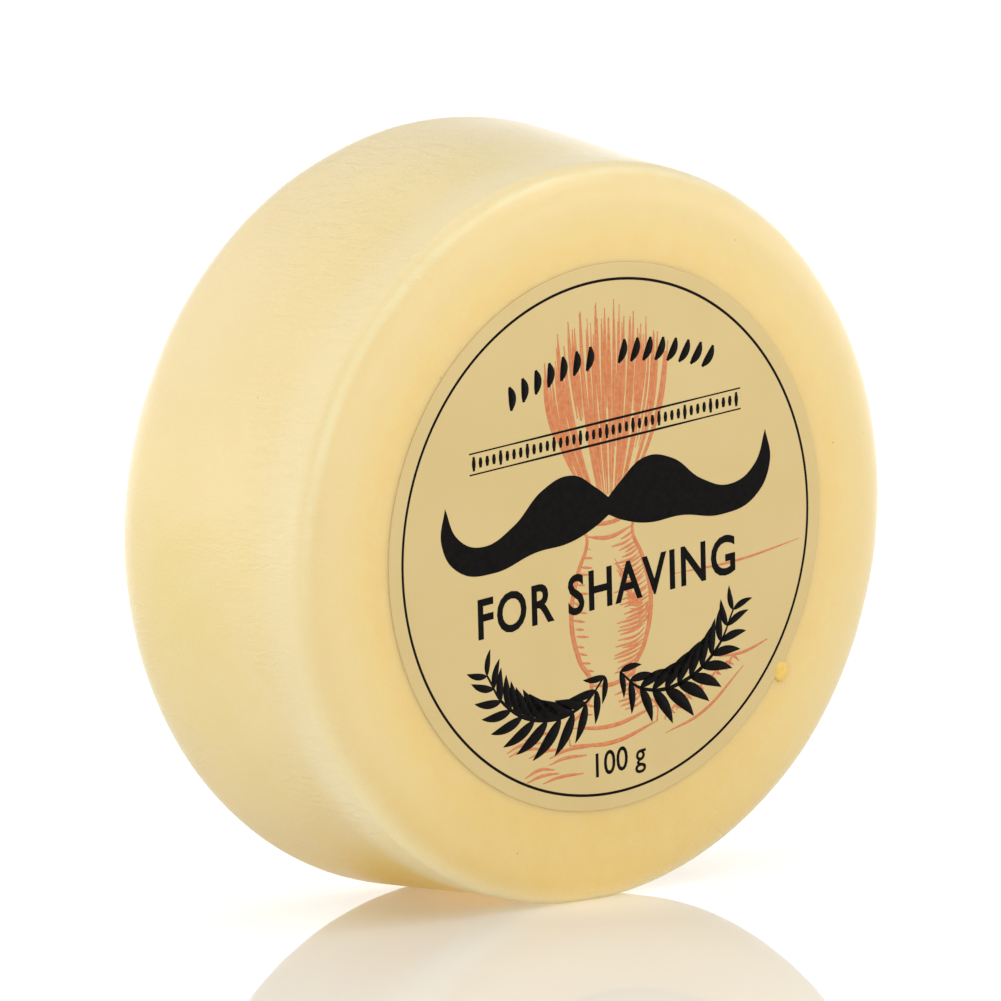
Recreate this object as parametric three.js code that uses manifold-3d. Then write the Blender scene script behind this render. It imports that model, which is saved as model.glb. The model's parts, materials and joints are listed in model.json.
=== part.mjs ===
// A moulded shaving soap puck with a round self-adhesive label on its front face, standing on its rim.
//
// Millimetres, +Z up. The puck is a little wider at the back than at the front, so it leans forward by its
// draft angle and its wall lies level along the ground. The label faces -Y and slightly down.
// The origin is the middle of the puck's box, on the ground.

import * as THREE from 'three';
import { mergeVertices } from 'three/addons/utils/BufferGeometryUtils.js';
import Module from 'manifold-3d';

// The soap: a disc with a drafted wall, a soft back edge and a tighter front edge.
const FRONT_RADIUS = 32.5;
const BACK_RADIUS = 34.4;
const THICKNESS = 27.6;
const BACK_EDGE = { axial: 5.2, radial: 6.8 };
const FRONT_EDGE = { axial: 2.6, radial: 3.4 };
const STANDING_FLAT_DEPTH = 0.18;

// The label, from the soap outwards: adhesive, film, and a thin printed ring near the film's edge.
// The adhesive stands a hair off the soap, so that the two never cross.
const LABEL_RADIUS = 24;
const ADHESIVE_CLEARANCE = 0.001;
const ADHESIVE_THICKNESS = 0.03;
const FILM_THICKNESS = 0.09;
const RING_RADIUS = 22.56;
const RING_WIDTH = 0.24;
const INK_THICKNESS = 0.01;

// How finely round shapes are cut.
const SIDES = 96;
const EDGE_STEPS = 5;

const WALL_LENGTH = THICKNESS - BACK_EDGE.axial - FRONT_EDGE.axial;
const DRAFT = Math.atan2(BACK_RADIUS - FRONT_RADIUS, WALL_LENGTH);

const wasm = await Module();
wasm.setup();

const solidOf = (geometry) => {
  const plain = geometry.clone();
  plain.deleteAttribute('normal');
  plain.deleteAttribute('uv');
  const merged = mergeVertices(plain);
  const vertProperties = new Float32Array(merged.attributes.position.array);
  const triVerts = new Uint32Array(merged.index.array);
  return new wasm.Manifold(new wasm.Mesh({ numProp: 3, vertProperties, triVerts }));
};

const geometryOf = (solid) => {
  const { vertProperties, triVerts } = solid.getMesh();
  const geometry = new THREE.BufferGeometry();
  geometry.setAttribute('position', new THREE.BufferAttribute(vertProperties, 3));
  geometry.setIndex(new THREE.BufferAttribute(triVerts, 1));
  geometry.computeVertexNormals();
  return geometry;
};

// A quarter of an ellipse about a centre, from one angle to another, as points of radius and height.
const edgeArc = (radius, height, edge, from, to) =>
  Array.from({ length: EDGE_STEPS + 1 }, (_, step) => {
    const angle = from + ((to - from) * step) / EDGE_STEPS;
    return new THREE.Vector2(radius + edge.radial * Math.cos(angle), height + edge.axial * Math.sin(angle));
  });

// Profiles turn about the puck's own axis, which is Y here: the front is the low end.
const soapProfile = () => [
  new THREE.Vector2(0, -THICKNESS),
  ...edgeArc(FRONT_RADIUS - FRONT_EDGE.radial, FRONT_EDGE.axial - THICKNESS, FRONT_EDGE, -Math.PI / 2, 0),
  ...edgeArc(BACK_RADIUS - BACK_EDGE.radial, -BACK_EDGE.axial, BACK_EDGE, 0, Math.PI / 2),
  new THREE.Vector2(0, 0),
];

const discProfile = (radius, back, thickness) => [
  new THREE.Vector2(0, back - thickness),
  new THREE.Vector2(radius, back - thickness),
  new THREE.Vector2(radius, back),
  new THREE.Vector2(0, back),
];

const ringProfile = (middleRadius, width, back, thickness) => {
  const inner = middleRadius - width / 2;
  const outer = middleRadius + width / 2;
  return [
    new THREE.Vector2(inner, back - thickness),
    new THREE.Vector2(outer, back - thickness),
    new THREE.Vector2(outer, back),
    new THREE.Vector2(inner, back),
    new THREE.Vector2(inner, back - thickness),
  ];
};

// Turns a profile into a solid, leaning forward by the draft angle.
const leaning = (profile) => new THREE.LatheGeometry(profile, SIDES).rotateX(DRAFT);

// The soap settles to a narrow level flat where it stands.
const standingCut = (soap) => {
  soap.computeBoundingBox();
  const reach = 4 * BACK_RADIUS;
  const ground = soap.boundingBox.min.z + STANDING_FLAT_DEPTH;
  const below = new THREE.BoxGeometry(reach, reach, reach).translate(0, 0, ground - reach / 2);
  return geometryOf(solidOf(soap).subtract(solidOf(below)));
};

const soapGeometry = standingCut(leaning(soapProfile()));
soapGeometry.computeBoundingBox();
const { min: low, max: high } = soapGeometry.boundingBox;
const toOrigin = new THREE.Vector3(-(low.x + high.x) / 2, -(low.y + high.y) / 2, -low.z);

const soapMaterial = new THREE.MeshStandardMaterial({ color: 0xeed98f, roughness: 0.42, metalness: 0 });
const adhesiveMaterial = new THREE.MeshStandardMaterial({ color: 0xe6d9b4, roughness: 0.3, metalness: 0 });
const filmMaterial = new THREE.MeshStandardMaterial({ color: 0xddc388, roughness: 0.55, metalness: 0 });
const inkMaterial = new THREE.MeshStandardMaterial({ color: 0x0b0a0a, roughness: 0.5, metalness: 0 });

const group = new THREE.Group();

const add = (name, geometry, material) => {
  const mesh = new THREE.Mesh(geometry.translate(toOrigin.x, toOrigin.y, toOrigin.z), material);
  mesh.name = name;
  group.add(mesh);
};

const adhesiveBack = -THICKNESS - ADHESIVE_CLEARANCE;
const filmBack = adhesiveBack - ADHESIVE_THICKNESS;
const inkBack = filmBack - FILM_THICKNESS;

add('soap_puck', soapGeometry, soapMaterial);
add('label_adhesive', leaning(discProfile(LABEL_RADIUS, adhesiveBack, ADHESIVE_THICKNESS)), adhesiveMaterial);
add('label_film', leaning(discProfile(LABEL_RADIUS, filmBack, FILM_THICKNESS)), filmMaterial);
add('label_ring', leaning(ringProfile(RING_RADIUS, RING_WIDTH, inkBack, INK_THICKNESS)), inkMaterial);

export default group;
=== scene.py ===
import json
import math
import random
import bpy
from mathutils import Matrix, Vector


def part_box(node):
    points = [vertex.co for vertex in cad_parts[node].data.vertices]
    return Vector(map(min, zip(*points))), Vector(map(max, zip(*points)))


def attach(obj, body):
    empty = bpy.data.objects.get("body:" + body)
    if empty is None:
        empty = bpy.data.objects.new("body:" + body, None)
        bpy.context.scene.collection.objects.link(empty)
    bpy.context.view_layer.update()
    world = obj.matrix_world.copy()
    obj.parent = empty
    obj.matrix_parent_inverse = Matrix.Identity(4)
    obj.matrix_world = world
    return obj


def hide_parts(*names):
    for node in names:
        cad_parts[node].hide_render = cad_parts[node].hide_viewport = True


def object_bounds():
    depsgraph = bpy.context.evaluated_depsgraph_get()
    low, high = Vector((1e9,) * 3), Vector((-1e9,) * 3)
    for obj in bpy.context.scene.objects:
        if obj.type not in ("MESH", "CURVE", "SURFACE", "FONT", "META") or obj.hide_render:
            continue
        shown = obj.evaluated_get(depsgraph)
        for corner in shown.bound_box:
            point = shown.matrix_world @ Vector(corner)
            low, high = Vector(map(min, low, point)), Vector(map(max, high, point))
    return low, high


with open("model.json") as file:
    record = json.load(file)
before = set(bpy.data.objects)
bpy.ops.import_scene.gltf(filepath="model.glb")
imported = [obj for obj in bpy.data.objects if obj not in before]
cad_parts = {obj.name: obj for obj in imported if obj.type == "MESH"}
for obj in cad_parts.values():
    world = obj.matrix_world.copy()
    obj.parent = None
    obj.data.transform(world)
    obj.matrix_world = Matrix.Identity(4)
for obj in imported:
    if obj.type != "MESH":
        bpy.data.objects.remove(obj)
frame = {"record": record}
cad_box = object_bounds()

# ---------------------------------------------------------------- sizes, in metres
MM = 0.001
TAU = 2 * math.pi

FRONT_RADIUS = 32.5 * MM
BACK_EDGE = {"axial": 5.2 * MM, "radial": 6.8 * MM}
FRONT_EDGE = {"axial": 2.6 * MM, "radial": 3.4 * MM}
SOAP_SIDES = 288
BEAD_SIDES = 48

# The wall is very slightly hollow, and a low crest runs round the front edge just behind the face.
WALL_HOLLOW = 0.16 * MM
CREST = {"below_face": 1.1 * MM, "height": 0.04 * MM, "reach": 0.26 * MM}

# The adhesive stops short of the film's edge, and the film bends down over it in a share of that gap.
GLUE_INSET = 0.24 * MM
FILM_BEND = 0.1
FILM_EDGE_REACH = 0.17 * MM
FILM_EDGE_LIFT = 0.002 * MM
LABEL_SIDES = 256

# Strokes of ink that cross lie at their own levels, so that no two faces lie in one plane.
BLACK_INK_THICKNESS = 0.010 * MM
ORANGE_INK_THICKNESS = 0.004 * MM
STROKE_LEVELS = 24
STROKE_STEP = 0.00012 * MM
PRINT_TURN = math.radians(6.2)
PRINT_SLANT = math.radians(3.4)

# ---------------------------------------------------------------- the frame's own places
mounts = {mount["name"]: mount for mount in frame["record"]["mounts"]}
back_centre = Vector(mounts["back_face"]["pos_m"])
outward = -Vector(mounts["back_face"]["axis"])
across = Vector((1, 0, 0))
upward = outward.cross(across)


def width_of(node):
    """How wide a node is, from side to side."""
    low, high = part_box(node)
    return high.x - low.x


def depth_of(node):
    """How far a node's middle lies in front of the puck's back, along the puck's axis."""
    low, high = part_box(node)
    return ((low + high) / 2 - back_centre).dot(outward)


BACK_RADIUS = width_of("soap_puck") / 2
LABEL_RADIUS = width_of("label_film") / 2
RING_OUTER_RADIUS = width_of("label_ring") / 2
RING_WIDTH = 0.24 * MM
film_middle = depth_of("label_film")
adhesive_middle = depth_of("label_adhesive")
layer_step = film_middle - adhesive_middle
ADHESIVE_THICKNESS = 0.03 * MM
FILM_THICKNESS = 2 * layer_step - ADHESIVE_THICKNESS
THICKNESS = adhesive_middle - ADHESIVE_THICKNESS / 2
film_front = film_middle + FILM_THICKNESS / 2


def frame_matrix(height=0.0):
    """From the puck's own axes (right, up, outward) to the row frame, at a height above its back."""
    axes = Matrix((across, upward, outward)).transposed().to_4x4()
    return Matrix.Translation(back_centre + outward * height) @ axes


# ---------------------------------------------------------------- node tree helpers
def node(tree, kind, inputs=None, **settings):
    """Adds a node. An input is given a value, or another node's output to be joined to."""
    made = tree.nodes.new(kind)
    for name, value in settings.items():
        setattr(made, name, value)
    for key, value in (inputs or {}).items():
        if isinstance(value, bpy.types.NodeSocket):
            tree.links.new(value, made.inputs[key])
        else:
            made.inputs[key].default_value = value
    return made


def maths(tree, operation, first, second=0.0):
    """One step of arithmetic, in a material or a geometry tree."""
    return node(tree, "ShaderNodeMath", {0: first, 1: second}, operation=operation).outputs[0]


def product(tree, first, *others):
    """Numbers or outputs, multiplied together from left to right."""
    made = first
    for other in others:
        made = maths(tree, "MULTIPLY", made, other)
    return made


def vector_maths(tree, operation, first, *others, output=0):
    """One step of arithmetic on vectors."""
    inputs = dict(enumerate((first, *others)))
    return node(tree, "ShaderNodeVectorMath", inputs, operation=operation).outputs[output]


def ramp_between(tree, value, low, high, bottom=0.0, top=1.0):
    """The bottom number below low, the top number above high, and a soft step between them."""
    made = node(
        tree,
        "ShaderNodeMapRange",
        {"Value": value, "From Min": low, "From Max": high, "To Min": bottom, "To Max": top},
        interpolation_type="SMOOTHSTEP",
    )
    return made.outputs["Result"]


def fall_between(tree, value, low, high):
    """1 below low, 0 above high, and a soft step between them."""
    return ramp_between(tree, product(tree, value, -1.0), -high, -low)


def new_geometry_tree(name, inputs):
    """A geometry tree with a geometry input, the named inputs and a geometry output."""
    tree = bpy.data.node_groups.new(name, "GeometryNodeTree")
    tree.interface.new_socket("Geometry", in_out="INPUT", socket_type="NodeSocketGeometry")
    for label, kind in inputs.items():
        tree.interface.new_socket(label, in_out="INPUT", socket_type=kind)
    tree.interface.new_socket("Geometry", in_out="OUTPUT", socket_type="NodeSocketGeometry")
    return tree, tree.nodes.new("NodeGroupInput")


def end_geometry_tree(tree, geometry, material):
    """Ends a tree with real mesh and its material."""
    real = node(tree, "GeometryNodeRealizeInstances", {"Geometry": geometry})
    painted = node(tree, "GeometryNodeSetMaterial", {"Geometry": real.outputs[0], "Material": material})
    end = tree.nodes.new("NodeGroupOutput")
    tree.links.new(painted.outputs[0], end.inputs["Geometry"])


def link_object(name, data):
    """A new object in the scene."""
    made = bpy.data.objects.new(name, data)
    bpy.context.scene.collection.objects.link(made)
    return made


def plain_mesh_of(guide, name, place):
    """The mesh that a guide object makes, put in its place. The guide is removed."""
    evaluated = guide.evaluated_get(bpy.context.evaluated_depsgraph_get())
    mesh = bpy.data.meshes.new_from_object(evaluated)
    bpy.data.objects.remove(guide)
    mesh.name = name
    mesh.transform(place)
    return link_object(name, mesh)


def made_by(tree, guide, name, values, place):
    """Runs a geometry tree on a guide object and returns the plain mesh that it makes, put in its place."""
    modifier = guide.modifiers.new(tree.name, "NODES")
    modifier.node_group = tree
    sockets = {item.name: item.identifier for item in tree.interface.items_tree if item.in_out == "INPUT"}
    for label, value in values.items():
        modifier[sockets[label]] = value
    bpy.context.view_layer.update()
    return plain_mesh_of(guide, name, place)


# ---------------------------------------------------------------- turned shapes
def turning_tree():
    """Turns a profile of (radius, 0, height) points about the height axis, with a slight unevenness."""
    tree, given = new_geometry_tree(
        "turned_shape",
        {
            "Turns": "NodeSocketInt",
            "Unevenness": "NodeSocketFloat",
            "Unevenness Size": "NodeSocketFloat",
            "Even Inside": "NodeSocketFloat",
            "Uneven Outside": "NodeSocketFloat",
            "Seed": "NodeSocketFloat",
            "Material": "NodeSocketMaterial",
        },
    )
    profile = given.outputs["Geometry"]
    turns = given.outputs["Turns"]
    steps = node(tree, "GeometryNodeAttributeDomainSize", {"Geometry": profile}).outputs["Point Count"]
    columns = maths(tree, "ADD", turns, 1.0)
    grid = node(tree, "GeometryNodeMeshGrid", {"Vertices X": columns, "Vertices Y": steps})
    index = node(tree, "GeometryNodeInputIndex").outputs[0]
    row = maths(tree, "MODULO", index, steps)
    column = maths(tree, "FLOOR", maths(tree, "DIVIDE", maths(tree, "ADD", index, 0.5), steps))
    angle = product(tree, maths(tree, "DIVIDE", column, turns), TAU)
    position = node(tree, "GeometryNodeInputPosition").outputs[0]
    sample = node(
        tree,
        "GeometryNodeSampleIndex",
        {"Geometry": profile, "Index": row},
        data_type="FLOAT_VECTOR",
    )
    tree.links.new(position, sample.inputs["Value"])
    point = node(tree, "ShaderNodeSeparateXYZ", {0: sample.outputs[0]})
    radius = point.outputs["X"]
    turned = node(
        tree,
        "ShaderNodeCombineXYZ",
        {
            "X": product(tree, radius, maths(tree, "COSINE", angle)),
            "Y": product(tree, radius, maths(tree, "SINE", angle)),
            "Z": point.outputs["Z"],
        },
    )
    shaped = node(
        tree, "GeometryNodeSetPosition", {"Geometry": grid.outputs["Mesh"], "Position": turned.outputs[0]}
    )
    closed = node(
        tree, "GeometryNodeMergeByDistance", {"Geometry": shaped.outputs[0], "Distance": 0.001 * MM}
    )

    where = node(tree, "ShaderNodeSeparateXYZ", {0: position})
    flat = node(tree, "ShaderNodeCombineXYZ", {"X": where.outputs["X"], "Y": where.outputs["Y"]})
    from_axis = vector_maths(tree, "LENGTH", flat.outputs[0], output="Value")
    free = ramp_between(tree, from_axis, given.outputs["Even Inside"], given.outputs["Uneven Outside"])
    noise = node(
        tree,
        "ShaderNodeTexNoise",
        {
            "Vector": position,
            "W": given.outputs["Seed"],
            "Scale": maths(tree, "DIVIDE", 1.0, given.outputs["Unevenness Size"]),
            "Detail": 2.0,
            "Roughness": 0.4,
        },
        noise_dimensions="4D",
    ).outputs["Fac"]
    lift = product(tree, maths(tree, "SUBTRACT", noise, 0.5), given.outputs["Unevenness"])
    lift = product(tree, lift, free)
    normal = node(tree, "GeometryNodeInputNormal").outputs["Normal"]
    offset = node(tree, "ShaderNodeVectorMath", {0: normal, "Scale": lift}, operation="SCALE")
    uneven = node(
        tree, "GeometryNodeSetPosition", {"Geometry": closed.outputs[0], "Offset": offset.outputs[0]}
    )
    smooth = node(tree, "GeometryNodeSetShadeSmooth", {"Geometry": uneven.outputs[0]})
    end_geometry_tree(tree, smooth.outputs[0], given.outputs["Material"])
    return tree


TURNING = turning_tree()


def turned(
    name, profile, turns, material, place, unevenness=0.0, size=20 * MM, even=1.0, uneven=2.0, seed=0.0
):
    """A turned piece, from a list of (radius, height) pairs that starts and ends on the axis or closes."""
    mesh = bpy.data.meshes.new(name + "_profile")
    points = [(radius, 0.0, height) for radius, height in profile]
    mesh.from_pydata(points, [(i, i + 1) for i in range(len(points) - 1)], [])
    guide = link_object(name + "_profile", mesh)
    values = {
        "Turns": turns,
        "Unevenness": unevenness,
        "Unevenness Size": size,
        "Even Inside": even,
        "Uneven Outside": uneven,
        "Seed": seed,
        "Material": material,
    }
    return made_by(TURNING, guide, name, values, place)


def spread(first, last, count):
    """Evenly spaced numbers between two ends, without the ends."""
    return [first + (last - first) * (i + 1) / (count + 1) for i in range(count)]


def arc(radius, height, edge, first, last, steps):
    """A stretch of an ellipse about a centre, as (radius, height) pairs."""
    made = []
    for step in range(steps + 1):
        angle = first + (last - first) * step / steps
        made.append((radius + edge["radial"] * math.cos(angle), height + edge["axial"] * math.sin(angle)))
    return made


# ---------------------------------------------------------------- materials
def new_material(name):
    """A material, with its node tree and its main shader."""
    material = bpy.data.materials.new(name)
    material.use_nodes = True
    tree = material.node_tree
    shader = tree.nodes["Principled BSDF"]
    return material, tree, shader


def object_point(tree):
    """Where a point lies on its piece, in metres."""
    return node(tree, "ShaderNodeTexCoord").outputs["Object"]


def noise_on(tree, point, size, detail=2.0, roughness=0.5, distortion=0.0):
    """Noise whose lumps are about this size, in metres."""
    values = {
        "Vector": point,
        "Scale": 1.0 / size,
        "Detail": detail,
        "Roughness": roughness,
        "Distortion": distortion,
    }
    return node(tree, "ShaderNodeTexNoise", values).outputs["Fac"]


def colour_between(tree, share, first, second):
    """A colour that goes from first to second as share goes from 0 to 1."""
    made = node(tree, "ShaderNodeMix", {"Factor": share}, data_type="RGBA")
    made.inputs[6].default_value = (*first, 1.0)
    made.inputs[7].default_value = (*second, 1.0)
    return made.outputs[2]


def mixed_colour(tree, share, first, second):
    """The same, for colours that come from other nodes."""
    made = node(tree, "ShaderNodeMix", {"Factor": share}, data_type="RGBA")
    for place, value in ((6, first), (7, second)):
        if isinstance(value, bpy.types.NodeSocket):
            tree.links.new(value, made.inputs[place])
        else:
            made.inputs[place].default_value = (*value, 1.0)
    return made.outputs[2]


def set_inputs(shader, values):
    """Values that are the same all over a surface."""
    for name, value in values.items():
        shader.inputs[name].default_value = value


def spread_roughness(tree, shader, share, low, high):
    """Roughness that goes from low to high as share goes from 0 to 1."""
    rough = node(tree, "ShaderNodeMapRange", {"Value": share, "To Min": low, "To Max": high})
    tree.links.new(rough.outputs["Result"], shader.inputs["Roughness"])


def add_relief(tree, shader, relief, strength, distance, sockets=("Normal",)):
    """Fine relief, too small to be shaped."""
    bump = node(tree, "ShaderNodeBump", {"Height": relief, "Strength": strength, "Distance": distance})
    for name in sockets:
        tree.links.new(bump.outputs[0], shader.inputs[name])


# Deep in the puck the soap is a full yellow, and its face is a fuller yellow than its wall.
# Its paler rims, paler crown, pale band and pale crest line are painted sheen and highlights, the paler lower
# band is a painted reflection of the table, the deeper yellow by the label and the darker, warmer foot are
# painted shade, and the amber heel is a painted glow where it meets the table.
# The wall is clouded between two tones, and the other tones lie over it in this order.
SOAP_WALL = ((0.824, 0.654, 0.243), (0.858, 0.678, 0.306))
# Painted light among these tones: crown, front_rim, back_rim, band and crest are painted sheen and
# highlights; low_band is a painted reflection; by_label and foot are painted shade; heel is a painted glow.
SOAP_TONES = {
    "crown": (0.850, 0.686, 0.352),
    "face": (0.850, 0.634, 0.221),
    "by_label": (0.862, 0.602, 0.200),
    "front_rim": (0.834, 0.656, 0.296),
    "back_rim": (0.845, 0.688, 0.358),
    "foot": (0.800, 0.570, 0.163),
    "heel": (0.920, 0.610, 0.030),
    "band": (0.850, 0.700, 0.360),
    "low_band": (0.925, 0.800, 0.460),
    "crest": (0.872, 0.755, 0.430),
    "mottle": (0.880, 0.730, 0.400),
    "specks": (0.420, 0.270, 0.100),
}
SOAP_STRENGTHS = {"foot": 0.85, "low_band": 0.75, "mottle": 0.12, "specks": 0.6}

# Where a tone lies: what is measured, where the tone ends and where it is full, in millimetres.
# Depth is forward from the puck's back, away is out from its axis, and height is up from the table.
SOAP_ZONES = {
    "crown": (("height", 34, 52), ("depth", 20, 8)),
    "by_label": (("away", 27.5, 24), ("away", 20, 23.5)),
    "front_rim": (("away", 25.5, 30.5), ("depth", 19, 25.5)),
    "back_rim": (("depth", 9, 1),),
    "foot": (("height", 19, 1),),
    "heel": (("height", 8, 0.5), ("depth", 26.5, 23), ("depth", 0.3, 3.5)),
    "band": (("depth", 19.5, 24.2), ("depth", 27.4, 25.6)),
    "low_band": (("height", 24, 8),),
    "crest": (("height", 22, 42),),
}
FACE_BLEND = {"ends": 0.8 * MM, "full": 0.1 * MM}
CREST_BLEND = {"ends": 0.50 * MM, "full": 0.05 * MM}
SOAP_FINISH = {
    "Subsurface Weight": 0.65,
    "Subsurface Radius": (1.0, 0.85, 0.70),
    "Subsurface Scale": 2.2 * MM,
    "IOR": 1.46,
    "Specular IOR Level": 0.5,
    "Coat Weight": 1.0,
    "Coat Roughness": 0.30,
    "Coat IOR": 1.5,
}
SOAP_RELIEF_DEPTH = 0.18 * MM
FACE_CALM = 0.65


def zone_share(tree, measures, limits):
    """1 inside a zone of the soap and 0 outside it, with soft ends."""
    shares = []
    for measure, ends, full in limits:
        if ends < full:
            shares.append(ramp_between(tree, measures[measure], ends * MM, full * MM))
        else:
            shares.append(fall_between(tree, measures[measure], full * MM, ends * MM))
    return product(tree, *shares)


def soap_measures(tree, point):
    """How far a point lies forward from the puck's back, out from its axis and up from the table."""
    from_back = vector_maths(tree, "SUBTRACT", point, back_centre)
    depth = vector_maths(tree, "DOT_PRODUCT", from_back, outward, output="Value")
    on_axis = node(tree, "ShaderNodeVectorMath", {0: outward, "Scale": depth}, operation="SCALE").outputs[0]
    away = vector_maths(tree, "DISTANCE", from_back, on_axis, output="Value")
    height = node(tree, "ShaderNodeSeparateXYZ", {0: point}).outputs["Z"]
    return {"depth": depth, "away": away, "height": height}


def soap_shares(tree, point, measures):
    """How much of each tone a point has, painted light and shade included."""
    depth = measures["depth"]
    shares = {name: zone_share(tree, measures, limits) for name, limits in SOAP_ZONES.items()}
    shares["face"] = ramp_between(tree, depth, THICKNESS - FACE_BLEND["ends"], THICKNESS - FACE_BLEND["full"])
    # Painted shade: a deeper yellow on the face next to the label.
    shares["by_label"] = product(tree, shares["by_label"], shares["face"])
    # Painted reflection: the paler lower part of the band, where the front edge mirrors the table.
    shares["low_band"] = product(tree, shares["band"], shares["low_band"])
    # Painted highlight: a pale line along the front edge's crest, broken up by noise.
    from_crest = maths(tree, "ABSOLUTE", maths(tree, "SUBTRACT", depth, THICKNESS - CREST["below_face"]))
    on_crest = fall_between(tree, from_crest, CREST_BLEND["full"], CREST_BLEND["ends"])
    broken_highlight = ramp_between(tree, noise_on(tree, point, 5 * MM, 3.0, 0.6), 0.25, 0.65)
    shares["crest"] = product(tree, on_crest, shares["crest"], broken_highlight)
    shares["mottle"] = ramp_between(tree, noise_on(tree, point, 2.4 * MM, 4.0, 0.6), 0.35, 0.75)
    cells = node(tree, "ShaderNodeTexVoronoi", {"Vector": point, "Scale": 1 / (4.5 * MM)})
    shares["specks"] = fall_between(tree, cells.outputs["Distance"], 0.014, 0.026)
    for name, strength in SOAP_STRENGTHS.items():
        shares[name] = product(tree, shares[name], strength)
    return shares


def soap_material():
    """Hard soap: waxy and translucent, with cloudy tones, painted sheen, highlights and shade, a painted glow
    at its heel, fine drag marks from its mould and tiny dark specks.
    """
    material, tree, shader = new_material("soap")
    point = object_point(tree)
    shares = soap_shares(tree, point, soap_measures(tree, point))
    clouds = ramp_between(tree, noise_on(tree, point, 16 * MM, 3.0, 0.5, 0.5), 0.3, 0.7)
    base = colour_between(tree, clouds, *SOAP_WALL)
    # The tones laid over the wall include painted sheen, highlights, a painted reflection, painted shade and
    # a painted glow.
    for name, tone in SOAP_TONES.items():
        base = mixed_colour(tree, shares[name], base, tone)
    tree.links.new(base, shader.inputs["Base Color"])
    set_inputs(shader, SOAP_FINISH)
    polish = ramp_between(tree, noise_on(tree, point, 6 * MM, 3.0, 0.6), 0.3, 0.7)
    spread_roughness(tree, shader, polish, 0.34, 0.50)

    # Long ripples lie in patches, over a fine grain, and both are calmer on the face.
    stretched = node(tree, "ShaderNodeMapping", {"Vector": point, "Scale": (1.0, 0.45, 1.6)})
    ripples = noise_on(tree, stretched.outputs[0], 1.1 * MM, 4.0, 0.6, 0.8)
    patches = ramp_between(tree, noise_on(tree, point, 14 * MM, 1.0), 0.42, 0.62)
    grain = noise_on(tree, point, 0.22 * MM, 2.0, 0.5)
    relief = maths(tree, "ADD", product(tree, ripples, patches), product(tree, grain, 0.25))
    calm = maths(tree, "SUBTRACT", 1.0, product(tree, shares["face"], FACE_CALM))
    relief = product(tree, relief, calm)
    add_relief(tree, shader, relief, 1.0, SOAP_RELIEF_DEPTH, ("Normal", "Coat Normal"))
    return material


def bead_material():
    """A drop of soap that set on its own: clearer and a deeper amber."""
    material, tree, shader = new_material("soap_bead")
    tone = ramp_between(tree, noise_on(tree, object_point(tree), 0.5 * MM, 3.0, 0.5), 0.3, 0.7)
    base = colour_between(tree, tone, (0.84, 0.53, 0.095), (0.88, 0.60, 0.14))
    tree.links.new(base, shader.inputs["Base Color"])
    set_inputs(shader, {"Roughness": 0.35})
    return material


def film_material():
    """Tan printed film with a satin face and a very slight paper-like tooth."""
    material, tree, shader = new_material("label_film")
    point = object_point(tree)
    tone = ramp_between(tree, noise_on(tree, point, 9 * MM, 3.0), 0.3, 0.7)
    base = colour_between(tree, tone, (0.683, 0.516, 0.229), (0.702, 0.535, 0.244))
    tree.links.new(base, shader.inputs["Base Color"])
    tooth = noise_on(tree, point, 0.12 * MM, 3.0, 0.6)
    spread_roughness(tree, shader, tooth, 0.46, 0.60)
    set_inputs(shader, {"Specular IOR Level": 0.25})
    add_relief(tree, shader, tooth, 0.12, 0.01 * MM)
    return material


def ink_material(name, dark, light, size, rough):
    """Printed ink, a little uneven in its density."""
    material, tree, shader = new_material(name)
    density = ramp_between(tree, noise_on(tree, object_point(tree), size, 3.0, 0.6), 0.3, 0.7)
    tree.links.new(colour_between(tree, density, dark, light), shader.inputs["Base Color"])
    spread_roughness(tree, shader, density, rough, rough + 0.12)
    set_inputs(shader, {"Specular IOR Level": 0.05})
    return material


def adhesive_material():
    """Clear acrylic adhesive, tacky and faintly stringy."""
    material, tree, shader = new_material("adhesive")
    strings = noise_on(tree, object_point(tree), 1.6 * MM, 4.0, 0.6, 1.2)
    tone = ramp_between(tree, strings, 0.35, 0.7)
    base = colour_between(tree, tone, (0.76, 0.68, 0.48), (0.84, 0.77, 0.58))
    tree.links.new(base, shader.inputs["Base Color"])
    spread_roughness(tree, shader, tone, 0.16, 0.34)
    add_relief(tree, shader, strings, 0.4, 0.04 * MM)
    return material


SOAP = soap_material()
BEAD = bead_material()
FILM = film_material()
BLACK_INK = ink_material("black_ink", (0.0035, 0.0030, 0.0028), (0.0075, 0.0065, 0.0060), 0.5 * MM, 0.42)
ORANGE_INK = ink_material("orange_ink", (0.660, 0.215, 0.085), (0.730, 0.290, 0.130), 0.4 * MM, 0.5)
ADHESIVE = adhesive_material()


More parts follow.
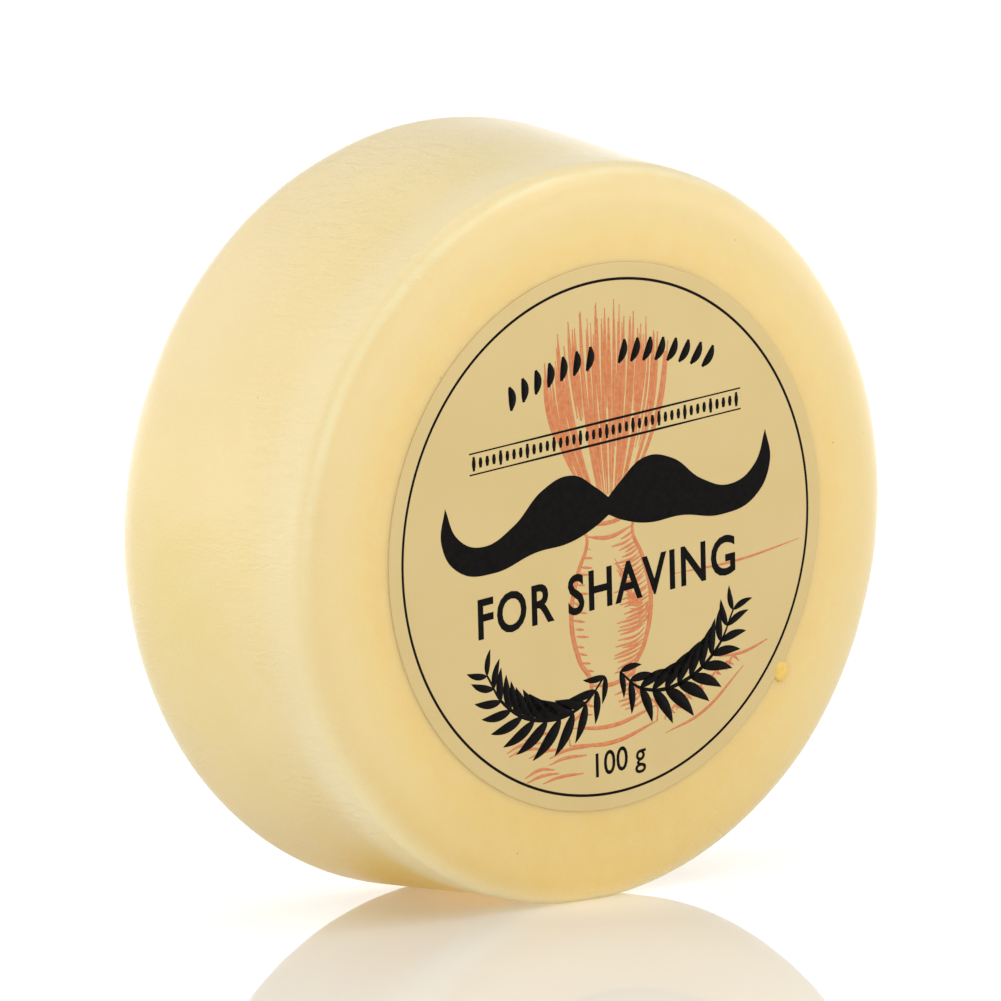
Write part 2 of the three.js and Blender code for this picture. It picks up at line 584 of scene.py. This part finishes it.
# ---------------------------------------------------------------- the soap
def soap_profile():
    """From the middle of the back, over its edge, along the drafted wall and the front edge, to the face."""
    back_flat = BACK_RADIUS - BACK_EDGE["radial"]
    front_flat = FRONT_RADIUS - FRONT_EDGE["radial"]
    wall_start = BACK_EDGE["axial"]
    wall_end = THICKNESS - FRONT_EDGE["axial"]
    points = [(0.0, 0.0)]
    points += [(radius, 0.0) for radius in spread(0.0, back_flat, 9)]
    points += arc(back_flat, wall_start, BACK_EDGE, -TAU / 4, 0.0, 18)
    for height in spread(wall_start, wall_end, 34):
        share = (height - wall_start) / (wall_end - wall_start)
        straight = BACK_RADIUS + (FRONT_RADIUS - BACK_RADIUS) * share
        hollow = WALL_HOLLOW * math.sin(math.pi * share**1.6) ** 2
        points.append((straight - hollow, height))
    crest = THICKNESS - CREST["below_face"]
    for radius, height in arc(front_flat, wall_end, FRONT_EDGE, 0.0, TAU / 4, 48):
        swell = CREST["height"] * math.exp(-(((height - crest) / CREST["reach"]) ** 2))
        points.append((radius + swell, height))
    points += [(radius, THICKNESS) for radius in spread(front_flat, 0.0, 14)]
    points.append((0.0, THICKNESS))
    return points


def make_soap():
    """The whole puck, settled to a narrow level flat where it stands."""
    piece = turned(
        "soap_body",
        soap_profile(),
        SOAP_SIDES,
        SOAP,
        frame_matrix(),
        unevenness=0.34 * MM,
        size=16 * MM,
        even=LABEL_RADIUS + 0.4 * MM,
        uneven=LABEL_RADIUS + 6 * MM,
        seed=3.0,
    )
    for vertex in piece.data.vertices:
        vertex.co.z = max(vertex.co.z, 0.0)
    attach(piece, "puck")
    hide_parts("soap_puck")


make_soap()


def make_bead():
    """A small bead of soap left on the face at the label's lower right."""
    angle = math.radians(-34.8)
    radius = LABEL_RADIUS + 0.25 * MM
    half_width = 0.75 * MM
    height = 0.34 * MM
    sunk = 0.12 * MM
    length_for_width = 1.25
    steps = 12
    profile = [(0.0, -sunk), (half_width, -sunk)]
    for step in range(1, steps):
        turn = TAU / 4 * step / steps
        profile.append((half_width * math.cos(turn), height * math.sin(turn)))
    profile.append((0.0, height))
    spot = Matrix.Translation((radius * math.cos(angle), radius * math.sin(angle), 0.0))
    place = frame_matrix(THICKNESS) @ spot @ Matrix.Diagonal((1.0, length_for_width, 1.0, 1.0))
    bead = turned(
        "soap_bead",
        profile,
        BEAD_SIDES,
        BEAD,
        place,
        unevenness=0.10 * MM,
        size=0.7 * MM,
        even=0.0,
        uneven=0.3 * MM,
        seed=5.0,
    )
    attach(bead, "puck")


make_bead()


# ---------------------------------------------------------------- the label's layers
def glue_profile():
    """The adhesive: a thin disc that stops a little short of the film's edge."""
    edge = LABEL_RADIUS - GLUE_INSET
    front = THICKNESS + ADHESIVE_THICKNESS
    points = [(0.0, THICKNESS)]
    points += [(radius, THICKNESS) for radius in spread(0.0, edge, 3)]
    points += [(edge, THICKNESS), (edge, front)]
    points += [(radius, front) for radius in spread(edge, 0.0, 3)]
    points.append((0.0, front))
    return points


def film_profile():
    """The film: flat, with its edge pressed down over the adhesive's edge and rounded off in front."""
    back = THICKNESS + ADHESIVE_THICKNESS
    foot = THICKNESS + FILM_EDGE_LIFT
    corner = {"axial": film_front - foot, "radial": FILM_EDGE_REACH}
    inner = LABEL_RADIUS - FILM_EDGE_REACH
    bend = LABEL_RADIUS - (1 - FILM_BEND) * GLUE_INSET
    points = [(0.0, back)]
    points += [(radius, back) for radius in spread(0.0, bend, 3)]
    points += [(bend, back), (bend + FILM_BEND * GLUE_INSET, foot)]
    points += arc(inner, foot, corner, 0.0, TAU / 4, 8)
    points += [(radius, film_front) for radius in spread(inner, 0.0, 3)]
    points.append((0.0, film_front))
    return points


def ring_profile(outer, width, back, thickness):
    """A flat ring of a rectangular section."""
    inner = outer - width
    front = back + thickness
    return [(inner, back), (outer, back), (outer, front), (inner, front), (inner, back)]


def make_label_layers():
    """The adhesive, the film on it, and the thin ring printed near the film's edge."""
    place = frame_matrix()
    glue = turned("label_glue", glue_profile(), LABEL_SIDES, ADHESIVE, place)
    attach(glue, "label")
    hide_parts("label_adhesive")
    film = turned("label_face", film_profile(), LABEL_SIDES, FILM, place)
    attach(film, "label")
    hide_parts("label_film")
    ring = turned(
        "printed_ring",
        ring_profile(RING_OUTER_RADIUS, RING_WIDTH, film_front, BLACK_INK_THICKNESS),
        LABEL_SIDES,
        BLACK_INK,
        place,
    )
    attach(ring, "label")
    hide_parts("label_ring")


make_label_layers()

# ---------------------------------------------------------------- the print
# Printed shapes are drawn in label units: the label's radius is 1 and its middle is the origin.
LABEL_UNIT = Matrix.Diagonal((LABEL_RADIUS, LABEL_RADIUS, LABEL_RADIUS, 1.0))
PRINT_LEAN = Matrix(((1, math.tan(PRINT_SLANT), 0, 0), (0, 1, 0, 0), (0, 0, 1, 0), (0, 0, 0, 1)))
PRINT_PLACE = frame_matrix(film_front) @ Matrix.Rotation(PRINT_TURN, 4, "Z") @ PRINT_LEAN @ LABEL_UNIT
BLACK_DEPTH = BLACK_INK_THICKNESS / LABEL_RADIUS
ORANGE_DEPTH = ORANGE_INK_THICKNESS / LABEL_RADIUS


def thicken(tree, flat, depth):
    """A closed, thin solid on a flat sheet that faces up."""
    offset = node(tree, "ShaderNodeCombineXYZ", {"Z": 1.0}).outputs[0]
    raised = node(
        tree,
        "GeometryNodeExtrudeMesh",
        {"Mesh": flat, "Offset": offset, "Offset Scale": depth, "Individual": False},
    )
    under = node(tree, "GeometryNodeFlipFaces", {"Mesh": flat})
    joined = node(tree, "GeometryNodeJoinGeometry")
    tree.links.new(raised.outputs["Mesh"], joined.inputs[0])
    tree.links.new(under.outputs[0], joined.inputs[0])
    return node(
        tree, "GeometryNodeMergeByDistance", {"Geometry": joined.outputs[0], "Distance": 0.00001}
    ).outputs[0]


def ribbon(tree, curve, half_width):
    """A flat ribbon along a curve that lies in the plane of the label, facing up."""
    level = node(tree, "GeometryNodeSetCurveNormal", {"Curve": curve}, mode="Z_UP").outputs[0]
    line = node(
        tree, "GeometryNodeCurvePrimitiveLine", {"Start": (-1.0, 0.0, 0.0), "End": (1.0, 0.0, 0.0)}
    ).outputs[0]
    return node(
        tree, "GeometryNodeCurveToMesh", {"Curve": level, "Profile Curve": line, "Scale": half_width}
    ).outputs[0]


def pen_tree():
    """Pen strokes: each guide line becomes a thin stroke of ink that swells and tapers along its length."""
    tree, given = new_geometry_tree(
        "pen_strokes",
        {
            "Step": "NodeSocketFloat",
            "Depth": "NodeSocketFloat",
            "Blunt": "NodeSocketFloat",
            "Material": "NodeSocketMaterial",
        },
    )
    steps = node(
        tree,
        "GeometryNodeResampleCurve",
        {"Curve": given.outputs["Geometry"], "Length": given.outputs["Step"]},
        mode="LENGTH",
    ).outputs[0]
    share = node(tree, "GeometryNodeSplineParameter").outputs["Factor"]
    above_zero = 0.0001
    fullness = 0.6
    swell = maths(tree, "SINE", product(tree, share, math.pi))
    swell = maths(tree, "POWER", maths(tree, "MAXIMUM", swell, above_zero), fullness)
    swell = maths(tree, "MAXIMUM", swell, given.outputs["Blunt"])
    pen = node(tree, "GeometryNodeInputRadius").outputs[0]
    flat = ribbon(tree, steps, product(tree, pen, swell))
    solid = thicken(tree, flat, given.outputs["Depth"])
    end_geometry_tree(tree, solid, given.outputs["Material"])
    return tree


PEN = pen_tree()


def add_spline(curve, points, level=0.0, radius=1.0, sharp=()):
    """One smooth line through the points. Points whose number is in sharp are corners."""
    spline = curve.splines.new("BEZIER")
    spline.bezier_points.add(len(points) - 1)
    for number, (made, (x, y)) in enumerate(zip(spline.bezier_points, points)):
        kind = "VECTOR" if number in sharp else "AUTO"
        made.co = (x, y, level)
        made.handle_left_type = kind
        made.handle_right_type = kind
        made.radius = radius
    return spline


def pen_strokes(name, strokes, depth, material, step=0.02, blunt=0.25):
    """Strokes are (half width, points). Strokes that cross lie at their own levels."""
    curve = bpy.data.curves.new(name + "_guide", "CURVE")
    curve.dimensions = "3D"
    curve.resolution_u = 6
    for number, (half_width, points) in enumerate(strokes):
        level = (number % STROKE_LEVELS) * STROKE_STEP / LABEL_RADIUS
        add_spline(curve, points, level, half_width)
    guide = link_object(name + "_guide", curve)
    values = {"Step": step, "Depth": depth, "Blunt": blunt, "Material": material}
    piece = made_by(PEN, guide, name, values, PRINT_PLACE)
    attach(piece, "label")
    return piece


def spray_tree():
    """A leafy spray: curved, tapered leaves set in pairs along each guide line."""
    tree, given = new_geometry_tree(
        "leaf_spray",
        {
            "Pairs": "NodeSocketInt",
            "Leaf Length": "NodeSocketFloat",
            "Leaf Half Width": "NodeSocketFloat",
            "Tip Size": "NodeSocketFloat",
            "Spread": "NodeSocketFloat",
            "Depth": "NodeSocketFloat",
            "Material": "NodeSocketMaterial",
        },
    )
    length = given.outputs["Leaf Length"]
    leaf_bend = product(tree, length, 0.12)
    middle = node(tree, "ShaderNodeCombineXYZ", {"X": product(tree, length, 0.5), "Y": leaf_bend})
    tip = node(tree, "ShaderNodeCombineXYZ", {"X": length})
    spine = node(
        tree,
        "GeometryNodeCurveQuadraticBezier",
        {"Resolution": 12, "Start": (0.0, 0.0, 0.0), "Middle": middle.outputs[0], "End": tip.outputs[0]},
    ).outputs[0]
    share = node(tree, "GeometryNodeSplineParameter").outputs["Factor"]
    belly = maths(tree, "SINE", product(tree, maths(tree, "POWER", share, 0.8), math.pi))
    belly = maths(tree, "POWER", maths(tree, "MAXIMUM", belly, 0.0), 0.85)
    belly = maths(tree, "MAXIMUM", belly, 0.03)
    flat_leaf = ribbon(tree, spine, product(tree, belly, given.outputs["Leaf Half Width"]))
    leaf = thicken(tree, flat_leaf, given.outputs["Depth"])

    # Leaves are smaller at the start of a stem, and smaller again towards its tip.
    first_size = 0.55
    full_from = 0.30
    full_until = 0.35
    joined = node(tree, "GeometryNodeJoinGeometry")
    for side in (1.0, -1.0):
        points = node(
            tree,
            "GeometryNodeCurveToPoints",
            {"Curve": given.outputs["Geometry"], "Count": given.outputs["Pairs"]},
            mode="COUNT",
        )
        turn = node(
            tree,
            "FunctionNodeAlignEulerToVector",
            {"Vector": points.outputs["Tangent"]},
            axis="X",
            pivot_axis="Z",
        ).outputs[0]
        lean = node(
            tree, "ShaderNodeCombineXYZ", {"Z": product(tree, given.outputs["Spread"], side)}
        ).outputs[0]
        aimed = node(tree, "ShaderNodeVectorMath", {0: turn, 1: lean}, operation="ADD").outputs[0]
        index = node(tree, "GeometryNodeInputIndex").outputs[0]
        place_on_stem = maths(tree, "MODULO", index, given.outputs["Pairs"])
        place_on_stem = maths(tree, "DIVIDE", place_on_stem, given.outputs["Pairs"])
        late = node(
            tree,
            "ShaderNodeMapRange",
            {
                "Value": place_on_stem,
                "From Min": full_until,
                "To Min": 1.0,
                "To Max": given.outputs["Tip Size"],
            },
        )
        early = node(
            tree,
            "ShaderNodeMapRange",
            {"Value": place_on_stem, "From Max": full_from, "To Min": first_size},
        )
        size = product(tree, late.outputs["Result"], early.outputs["Result"])
        scale = node(tree, "ShaderNodeCombineXYZ", {"X": size, "Y": size, "Z": 1.0}).outputs[0]
        leaves = node(
            tree,
            "GeometryNodeInstanceOnPoints",
            {
                "Points": points.outputs["Points"],
                "Instance": leaf,
                "Rotation": aimed,
                "Scale": scale,
            },
        )
        tree.links.new(leaves.outputs[0], joined.inputs[0])
    end_geometry_tree(tree, joined.outputs[0], given.outputs["Material"])
    return tree


SPRAY = spray_tree()


def smooth_guide(name, lines):
    """A curve object with one smooth line through each list of points."""
    curve = bpy.data.curves.new(name, "CURVE")
    curve.dimensions = "3D"
    for points in lines:
        add_spline(curve, points)
    return link_object(name, curve)


def mirrored(points):
    """The same points on the other side of the label's upright line."""
    return [(-x, y) for x, y in points]


def make_leaf_sprays():
    """Two leafy branches that meet under the middle of the label and curl up at their ends."""
    stem = [(0.035, -0.50), (0.14, -0.585), (0.33, -0.600), (0.50, -0.505), (0.575, -0.385)]
    guide = smooth_guide("spray_stems", [stem, mirrored(stem)])
    values = {
        "Pairs": 12,
        "Leaf Length": 0.185,
        "Leaf Half Width": 0.024,
        "Tip Size": 0.45,
        "Spread": math.radians(42),
        "Depth": BLACK_DEPTH,
        "Material": BLACK_INK,
    }
    piece = made_by(SPRAY, guide, "printed_leaves", values, PRINT_PLACE)
    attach(piece, "label")
    stem_half_width = 0.008
    stems = [(stem_half_width, stem), (stem_half_width, mirrored(stem))]
    pen_strokes("printed_stems", stems, BLACK_DEPTH, BLACK_INK, blunt=0.5)


make_leaf_sprays()


def filled_outline(name, outline, sharp, depth, material):
    """A solid printed shape from a closed outline. Points whose number is in sharp are corners."""
    curve = bpy.data.curves.new(name, "CURVE")
    curve.dimensions = "2D"
    curve.fill_mode = "BOTH"
    curve.resolution_u = 10
    curve.extrude = depth / 2
    add_spline(curve, outline, sharp=sharp).use_cyclic_u = True
    guide = link_object(name + "_outline", curve)
    curve.materials.append(material)
    return solid_from(guide, name, depth)


def solid_from(guide, name, depth, place=Matrix.Identity(4)):
    """The plain mesh of a filled curve or of text, raised so that it stands on the film."""
    bpy.context.view_layer.update()
    piece = plain_mesh_of(guide, name, PRINT_PLACE @ Matrix.Translation((0, 0, depth / 2)) @ place)
    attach(piece, "label")
    return piece


def make_moustache():
    """A bold curled moustache across the middle of the label."""
    half = [
        (0.055, 0.195),
        (0.170, 0.262),
        (0.300, 0.235),
        (0.440, 0.130),
        (0.580, 0.085),
        (0.690, 0.135),
        (0.745, 0.255),
        (0.765, 0.130),
        (0.690, 0.015),
        (0.530, -0.020),
        (0.340, 0.015),
        (0.180, 0.020),
        (0.060, 0.055),
    ]
    top = (0.0, 0.150)
    bottom = (0.0, 0.085)
    left = mirrored(half[::-1])
    outline = [top, *half, bottom, *left]
    tip = 7
    sharp = {0, tip, len(half) + 1, len(outline) - tip}
    filled_outline("printed_moustache", outline, sharp, BLACK_DEPTH, BLACK_INK)


make_moustache()


def make_words(name, words, size, middle, weight, spacing=1.0):
    """Plain lettering, drawn to a width and height in label units about a middle point."""
    text = bpy.data.curves.new(name, "FONT")
    text.body = words
    text.align_x = "CENTER"
    text.space_character = spacing
    text.offset = weight
    text.extrude = BLACK_DEPTH / 2
    text.resolution_u = 4
    text.materials.append(BLACK_INK)
    guide = link_object(name + "_text", text)
    bpy.context.view_layer.update()
    corners = [Vector(corner) for corner in guide.bound_box]
    low = Vector([min(c[i] for c in corners) for i in range(3)])
    high = Vector([max(c[i] for c in corners) for i in range(3)])
    scale = Matrix.Diagonal((size[0] / (high.x - low.x), size[1] / (high.y - low.y), 1.0, 1.0))
    to_middle = Matrix.Translation((*middle, 0.0))
    from_centre = Matrix.Translation((-(low.x + high.x) / 2, -(low.y + high.y) / 2, 0.0))
    solid_from(guide, name, BLACK_DEPTH, to_middle @ scale @ from_centre)


make_words("printed_use", "FOR SHAVING", (1.20, 0.150), (-0.01, -0.175), 0.022, 1.12)
make_words("printed_weight", "100 g", (0.235, 0.118), (0.03, -0.835), 0.008, 1.0)


def arc_points(radius, centre_y, first, last, count):
    """Points along an arc over a centre on the label's upright line; angles are from upright, in degrees."""
    made = []
    for i in range(count):
        angle = math.radians(first + (last - first) * i / (count - 1))
        made.append((radius * math.sin(angle), centre_y + radius * math.cos(angle)))
    return made


def make_border_marks():
    """A curved row of slanting marks above, and a fine ruled band with dots below it."""
    arch_radius = 1.25
    arch_centre = -0.58
    half_length = 0.042
    slant = 0.012
    bow = 0.01
    mark_half_width = 0.017
    marks = []
    for first, last, count in ((-20.5, -3.5, 7), (3.5, 22.5, 8)):
        for x, y in arc_points(arch_radius, arch_centre, first, last, count):
            along = math.atan2(x, y - arch_centre)
            up = Vector((math.sin(along), math.cos(along)))
            side = Vector((math.cos(along), -math.sin(along)))
            foot = Vector((x, y)) - up * half_length - side * slant
            head = Vector((x, y)) + up * half_length + side * slant
            middle = (foot + head) / 2 + side * bow
            marks.append((mark_half_width, [tuple(foot), tuple(middle), tuple(head)]))
    pen_strokes("printed_arch", marks, BLACK_DEPTH, BLACK_INK, step=0.008, blunt=0.3)

    rule_reach = 0.63
    rule_half_width = 0.0045
    dots_middle = 0.39
    dots_reach = 0.61
    dot_half_width = 0.0085
    short_dot = 0.018
    long_dot = 0.026
    dots_in_group = 4
    count = 41
    lines = []
    for y in (0.352, 0.428):
        lines.append((rule_half_width, [(-rule_reach, y), (0.0, y), (rule_reach, y)]))
    for i in range(count):
        x = -dots_reach + 2 * dots_reach * i / (count - 1)
        tall = short_dot if i % dots_in_group else long_dot
        dot = [(x, dots_middle - tall), (x, dots_middle), (x, dots_middle + tall)]
        lines.append((dot_half_width, dot))
    pen_strokes("printed_band", lines, BLACK_DEPTH, BLACK_INK, step=0.008, blunt=0.6)


make_border_marks()


def make_brush_drawing():
    """A pen drawing of a shaving brush, standing on a few ground strokes, behind the black print."""
    rng = random.Random(11)
    pen_weight = 1.45
    strokes = []

    def jitter(amount):
        return rng.uniform(-amount, amount)

    def stroke(points, half_width=0.0052, shake=0.004):
        strokes.append((pen_weight * half_width, [(x + jitter(shake), y + jitter(shake)) for x, y in points]))

    # The knot of hair: strokes fan from the ferrule to a domed top.
    hairs = 56
    knot_foot = 0.16
    knot_half_width = 0.105
    dome_height = 0.86
    dome_fall = 0.20
    dome_half_width = 0.30
    bulge = 0.05
    for i in range(hairs):
        share = -1.0 + 2.0 * (i + rng.random()) / hairs
        foot_x = knot_half_width * share
        dome = dome_height - dome_fall * share * share + jitter(0.03)
        top_x = dome_half_width * share + jitter(0.015)
        start = rng.choice((0.0, 0.0, 0.25, 0.45))
        reach = rng.uniform(0.86, 1.0)
        line = []
        for step in range(4):
            along = start + (reach - start) * step / 3
            belly = math.sin(math.pi * along) * bulge * share
            line.append((foot_x + (top_x - foot_x) * along + belly, knot_foot + (dome - knot_foot) * along))
        stroke(line, rng.uniform(0.0035, 0.0065), 0.003)

    # The handle's outline, right then left.
    side = [
        (0.125, 0.155),
        (0.140, 0.075),
        (0.105, 0.02),
        (0.150, -0.10),
        (0.185, -0.25),
        (0.150, -0.42),
        (0.095, -0.52),
        (0.130, -0.60),
        (0.205, -0.66),
        (0.205, -0.72),
    ]
    stroke(side, 0.0070)
    stroke(mirrored(side), 0.0070)

    # Rings round the ferrule and the foot: height, half width and sag.
    rings = (
        (0.155, 0.125, 0.018),
        (0.080, 0.140, 0.020),
        (0.020, 0.105, 0.016),
        (-0.52, 0.095, 0.015),
        (-0.66, 0.205, 0.030),
        (-0.72, 0.205, 0.034),
    )
    for y, reach, sag in rings:
        stroke([(-reach, y), (0.0, y - sag), (reach, y)], 0.0055)

    def reach_at(y):
        """Half the handle's width at a height."""
        for (x1, y1), (x2, y2) in zip(side, side[1:]):
            if y2 <= y <= y1:
                return x1 + (x2 - x1) * (y1 - y) / max(y1 - y2, 1e-6)
        return side[-1][0]

    # Hatching that follows the handle round on its shaded side, and lightly on the other.
    hatches = 40
    hatched_height = 0.64
    for i in range(hatches):
        y = 0.0 - hatched_height * i / hatches + jitter(0.004)
        reach = reach_at(y)
        start = rng.uniform(0.05, 0.55)
        stroke([(reach * start, y - 0.018), (reach * 0.75, y - 0.010), (reach * 0.97, y + 0.004)], 0.0036)
        if i % 2:
            far = rng.uniform(0.55, 0.8)
            stroke([(-reach * 0.97, y + 0.004), (-reach * far, y - 0.010)], 0.0034)
    shade_lines = 14
    for i in range(shade_lines):
        x = 0.02 + 0.10 * i / shade_lines
        stroke([(x, -0.08 - 0.02 * i), (x + 0.05, -0.17 - 0.012 * i), (x + 0.07, -0.27)], 0.0032)

    # Ground strokes and two long, faint lines of a table's edge.
    for i in range(9):
        x = -0.50 + rng.uniform(0.0, 0.22)
        y = -0.66 - 0.022 * i
        stroke([(x, y), (x + 0.07, y + 0.012), (x + rng.uniform(0.12, 0.2), y)], 0.0042)
    for i in range(12):
        x = 0.24 + 0.028 * i
        y = -0.72 + 0.012 * i
        stroke([(x, y), (x + 0.015, y + 0.03), (x + 0.05, y + 0.012)], 0.0040)
    stroke([(0.24, -0.77), (0.42, -0.73), (0.62, -0.60)], 0.0042)
    stroke([(0.30, -0.19), (0.60, -0.205), (0.90, -0.18)], 0.0032)
    stroke([(0.50, -0.545), (0.62, -0.55), (0.74, -0.53)], 0.0040)
    pen_strokes("printed_brush", strokes, ORANGE_DEPTH, ORANGE_INK, step=0.016, blunt=0.3)


make_brush_drawing()


# ---------------------------------------------------------------- studio
def make_floor():
    """A broad, pale, glossy table. It gives a soft mirror image and glows whiter away from its middle."""
    half = 2.5
    mirror_share = 0.38
    pool_strength = 0.24
    pool_squeeze = (1.0, 0.6, 1.0)
    pool_tint = (1.0, 0.86, 0.62)
    white = (1.0, 1.0, 1.0)
    mesh = bpy.data.meshes.new("table")
    corners = [(-half, -half, 0), (half, -half, 0), (half, half, 0), (-half, half, 0)]
    mesh.from_pydata(corners, [], [(0, 1, 2, 3)])
    floor = link_object("table", mesh)
    material, tree, shader = new_material("pale_table")
    finish = {"Base Color": (0.80, 0.80, 0.80, 1.0), "Roughness": 1.0, "Specular IOR Level": 0.0}
    set_inputs(shader, finish)
    distance = vector_maths(tree, "LENGTH", object_point(tree), output="Value")
    glow = ramp_between(tree, distance, 0.05, 0.30, bottom=0.150, top=0.60)

    # Where the puck stands, a painted pool of warm light glows on the table, standing in for light that comes
    # down through the soap.
    squeezed = node(tree, "ShaderNodeMapping", {"Vector": object_point(tree), "Scale": pool_squeeze})
    from_foot = vector_maths(tree, "LENGTH", squeezed.outputs[0], output="Value")
    pool = fall_between(tree, from_foot, 3 * MM, 16 * MM)
    lit = maths(tree, "ADD", glow, product(tree, pool, pool_strength))
    tree.links.new(lit, shader.inputs["Emission Strength"])
    tree.links.new(colour_between(tree, pool, white, pool_tint), shader.inputs["Emission Color"])
    mirror = node(tree, "ShaderNodeBsdfGlossy", {"Color": (*white, 1.0), "Roughness": 0.02})
    mixed = node(tree, "ShaderNodeMixShader", {0: mirror_share, 1: shader.outputs[0], 2: mirror.outputs[0]})
    tree.links.new(mixed.outputs[0], tree.nodes["Material Output"].inputs["Surface"])
    mesh.materials.append(material)


# Soft boxes: name, width and height, power, and place.
SOFT_BOXES = (
    ("back_left_box", (0.8, 0.8), 0.98, (-0.48, 0.48, 0.45)),
    ("top_box", (0.7, 0.2), 0.20, (-0.10, 0.10, 0.62)),
    ("front_box", (0.2, 0.2), 0.17, (0.10, -0.18, 0.28)),
    ("camera_box", (0.4, 0.4), 0.10, (-0.45, -0.45, 0.45)),
)


def make_soft_box(name, size, power, place, aim):
    """A plain rectangular light, turned towards a point."""
    data = bpy.data.lights.new(name, "AREA")
    data.shape = "RECTANGLE"
    data.size, data.size_y = size
    data.energy = power
    light = link_object(name, data)
    light.location = place
    light.rotation_euler = (aim - Vector(place)).to_track_quat("-Z", "Y").to_euler()


def make_lights():
    """Even white surroundings that are brightest near the horizon, and soft boxes round the puck."""
    world = bpy.data.worlds.new("studio")
    world.use_nodes = True
    tree = world.node_tree
    background = tree.nodes["Background"]
    background.inputs["Color"].default_value = (1.0, 1.0, 1.0, 1.0)
    direction = node(tree, "ShaderNodeTexCoord").outputs["Generated"]
    rise = maths(tree, "ABSOLUTE", node(tree, "ShaderNodeSeparateXYZ", {0: direction}).outputs["Z"])
    strength = ramp_between(tree, rise, 0.15, 0.35, bottom=1.50, top=0.71)
    tree.links.new(strength, background.inputs["Strength"])
    bpy.context.scene.world = world
    centre = (cad_box[0] + cad_box[1]) / 2
    for name, size, power, place in SOFT_BOXES:
        make_soft_box(name, size, power, place, centre)


# How far the camera stands round to the left and up, how far it is rolled, and what it aims at.
CAMERA_SWING = math.radians(38.1)
CAMERA_RISE = math.radians(5.0)
CAMERA_ROLL = math.radians(2.7)
CAMERA_DISTANCE = 20 * FRONT_RADIUS
SENSOR_WIDTH = 36.0
PICTURE_WIDTH = 1001
FACE_RADIUS_IN_PICTURE = 370
AIM_LEFT_IN_PICTURE = 8.5
AIM_UP_IN_PICTURE = 15.5


def make_camera():
    """A long lens, a little above the table, looking at the label from its left."""
    swing_x, swing_y = math.sin(CAMERA_SWING), math.cos(CAMERA_SWING)
    level = math.cos(CAMERA_RISE)
    back = Vector((-swing_x * level, -swing_y * level, math.sin(CAMERA_RISE)))
    right = Vector((swing_y, -swing_x, 0.0))
    up = back.cross(right)
    turned_right = right * math.cos(CAMERA_ROLL) - up * math.sin(CAMERA_ROLL)
    turned_up = right * math.sin(CAMERA_ROLL) + up * math.cos(CAMERA_ROLL)
    aim = back_centre + outward * THICKNESS / 2
    aim -= turned_right * (AIM_LEFT_IN_PICTURE / FACE_RADIUS_IN_PICTURE) * FRONT_RADIUS
    aim += turned_up * (AIM_UP_IN_PICTURE / FACE_RADIUS_IN_PICTURE) * FRONT_RADIUS
    data = bpy.data.cameras.new("camera")
    data.sensor_width = SENSOR_WIDTH
    data.lens = SENSOR_WIDTH * (FACE_RADIUS_IN_PICTURE / PICTURE_WIDTH) * CAMERA_DISTANCE / FRONT_RADIUS
    data.clip_start = 0.05
    data.clip_end = 10.0
    camera = link_object("camera", data)
    rotation = Matrix((turned_right, turned_up, back)).transposed().to_4x4()
    camera.matrix_world = Matrix.Translation(aim + back * CAMERA_DISTANCE) @ rotation
    bpy.context.scene.camera = camera


make_floor()
make_lights()
make_camera()

bpy.context.scene.view_settings.view_transform = "Standard"
